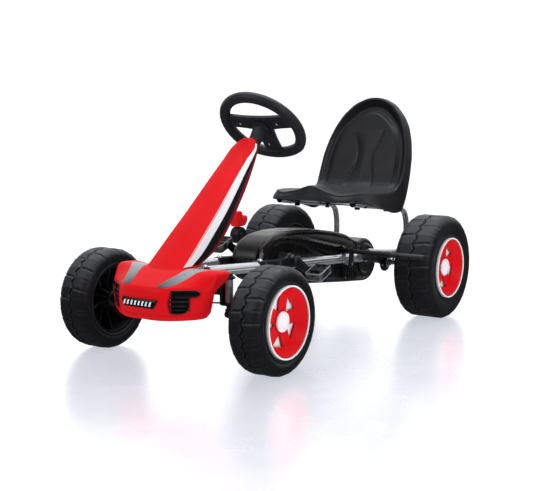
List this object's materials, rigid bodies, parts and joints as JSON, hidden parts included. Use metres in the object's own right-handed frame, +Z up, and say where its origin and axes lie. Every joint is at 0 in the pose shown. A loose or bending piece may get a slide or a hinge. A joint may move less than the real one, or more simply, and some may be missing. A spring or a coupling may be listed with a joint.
{
  "type": "pedal go kart",
  "caption": "Child's pedal go kart with steel rail frame, chain drive to the rear axle, linked front steering, hand brake, nose fairing and sliding bucket seat.",
  "frame": {"origin": "on the ground under the middle of the kart's bounding box", "axes": "+Z up, the kart faces -Y, +X is the driver's left"},
  "size_m": [0.61, 1.0714, 0.609],
  "materials": {
    "red_plastic": "gloss moulded",
    "black_plastic": "satin moulded, fine grain",
    "pale_plastic": "semi-gloss moulded",
    "tyre": "satin blow-moulded",
    "chrome": "bright chrome plate",
    "steel": "zinc plated",
    "black_steel": "black powder coat"
  },
  "bodies": {
    "frame": {"front_beam": "black_steel", "side_rail_left": "chrome", "side_rail_right": "chrome", "seat_tube_left": "chrome", "seat_tube_right": "chrome", "rear_bracket_left": "black_steel", "rear_bracket_right": "black_steel", "steering_column_tube": "black_steel", "front_bumper": "red_plastic", "badge_plate": "black_plastic", "bumper_grille_left": "black_plastic", "bumper_grille_right": "black_plastic", "nose_cone": "red_plastic", "chain_case_left": "black_plastic", "chain_case_right": "black_plastic", "chain": "steel"},
    "steering": {"steering_wheel": "black_plastic", "steering_hub_pad": "black_plastic", "steering_boss": "black_plastic", "steering_shaft": "steel", "pitman_arm": "steel"},
    "rear_axle": {"rear_axle": "steel", "rear_sprocket": "steel", "rear_tyre_left": "tyre", "rear_rim_left": "pale_plastic", "rear_wheel_cover_left": "red_plastic", "rear_hub_cap_left": "pale_plastic"},
    "rear_wheel_right": {"rear_tyre_right": "tyre", "rear_rim_right": "pale_plastic", "rear_wheel_cover_right": "red_plastic", "rear_hub_cap_right": "pale_plastic"},
    "crank": {"crank_axle": "steel", "chainring": "steel", "crank_arm_left": "black_steel", "crank_arm_right": "black_steel"},
    "brake": {"brake_bar": "black_steel", "brake_lever_hub": "black_plastic", "brake_grip": "red_plastic"},
    "seat": {"seat": "black_plastic", "seat_clamp_front": "steel", "seat_clamp_rear": "steel", "seat_knob_left": "black_plastic", "seat_knob_right": "black_plastic"},
    "knuckle_left": {"knuckle_left": "steel"},
    "tie_rod_left": {"tie_rod_left": "steel"},
    "front_wheel_left": {"front_tyre_left": "tyre", "front_rim_left": "pale_plastic", "front_wheel_cover_left": "red_plastic", "front_hub_cap_left": "pale_plastic"},
    "pedal_left": {"pedal_left": "black_plastic"},
    "knuckle_right": {"knuckle_right": "steel"},
    "tie_rod_right": {"tie_rod_right": "steel"},
    "front_wheel_right": {"front_tyre_right": "tyre", "front_rim_right": "pale_plastic", "front_wheel_cover_right": "red_plastic", "front_hub_cap_right": "pale_plastic"},
    "pedal_right": {"pedal_right": "black_plastic"}
  },
  "joints": [
    {"name": "steering_turn", "type": "hinge", "parent": "frame", "child": "steering", "pos_m": [0, -0.05894, 0.524], "axis": [0, 0.7071, 0.7071], "range_deg": [-28, 28]},
    {"name": "knuckle_left_turn", "type": "hinge", "parent": "frame", "child": "knuckle_left", "pos_m": [0.127, -0.37494, 0.17], "axis": [0, 0, 1], "range_deg": [-26, 26]},
    {"name": "tie_rod_left_pivot", "type": "hinge", "parent": "knuckle_left", "child": "tie_rod_left", "pos_m": [0.127, -0.32494, 0.137], "axis": [0, 0, 1], "range_deg": [-26, 26]},
    {"name": "front_wheel_left_spin", "type": "hinge", "parent": "knuckle_left", "child": "front_wheel_left", "pos_m": [0.244, -0.37494, 0.12], "axis": [1, 0, 0], "continuous": true},
    {"name": "knuckle_right_turn", "type": "hinge", "parent": "frame", "child": "knuckle_right", "pos_m": [-0.127, -0.37494, 0.17], "axis": [0, 0, 1], "range_deg": [-26, 26]},
    {"name": "tie_rod_right_pivot", "type": "hinge", "parent": "knuckle_right", "child": "tie_rod_right", "pos_m": [-0.127, -0.32494, 0.137], "axis": [0, 0, 1], "range_deg": [-26, 26]},
    {"name": "front_wheel_right_spin", "type": "hinge", "parent": "knuckle_right", "child": "front_wheel_right", "pos_m": [-0.244, -0.37494, 0.12], "axis": [1, 0, 0], "continuous": true},
    {"name": "rear_axle_spin", "type": "hinge", "parent": "frame", "child": "rear_axle", "pos_m": [0, 0.39506, 0.139], "axis": [1, 0, 0], "continuous": true},
    {"name": "rear_wheel_right_spin", "type": "hinge", "parent": "rear_axle", "child": "rear_wheel_right", "pos_m": [-0.249, 0.39506, 0.139], "axis": [1, 0, 0], "continuous": true},
    {"name": "crank_spin", "type": "hinge", "parent": "frame", "child": "crank", "pos_m": [0, -0.03094, 0.192], "axis": [1, 0, 0], "continuous": true},
    {"name": "pedal_left_spin", "type": "hinge", "parent": "crank", "child": "pedal_left", "pos_m": [0.11, 0.02795, 0.158], "axis": [1, 0, 0], "continuous": true},
    {"name": "pedal_right_spin", "type": "hinge", "parent": "crank", "child": "pedal_right", "pos_m": [-0.11, -0.08983, 0.226], "axis": [1, 0, 0], "continuous": true},
    {"name": "brake_lever_pull", "type": "hinge", "parent": "frame", "child": "brake", "pos_m": [0, 0.24306, 0.15], "axis": [-1, 0, 0], "range_deg": [0, 8], "stiffness_Nm_per_rad": 6},
    {"name": "seat_slide", "type": "slide", "parent": "frame", "child": "seat", "axis": [0, 0.9923, -0.124], "range_m": [-0.04, 0.012]}
  ],
  "couplings": [
    {"joint": "knuckle_left_turn", "follows": "steering_turn", "ratio": 0.92},
    {"joint": "tie_rod_left_pivot", "follows": "steering_turn", "ratio": -0.92},
    {"joint": "knuckle_right_turn", "follows": "steering_turn", "ratio": 0.92},
    {"joint": "tie_rod_right_pivot", "follows": "steering_turn", "ratio": -0.92},
    {"joint": "crank_spin", "follows": "rear_axle_spin", "ratio": 0.57143}
  ]
}
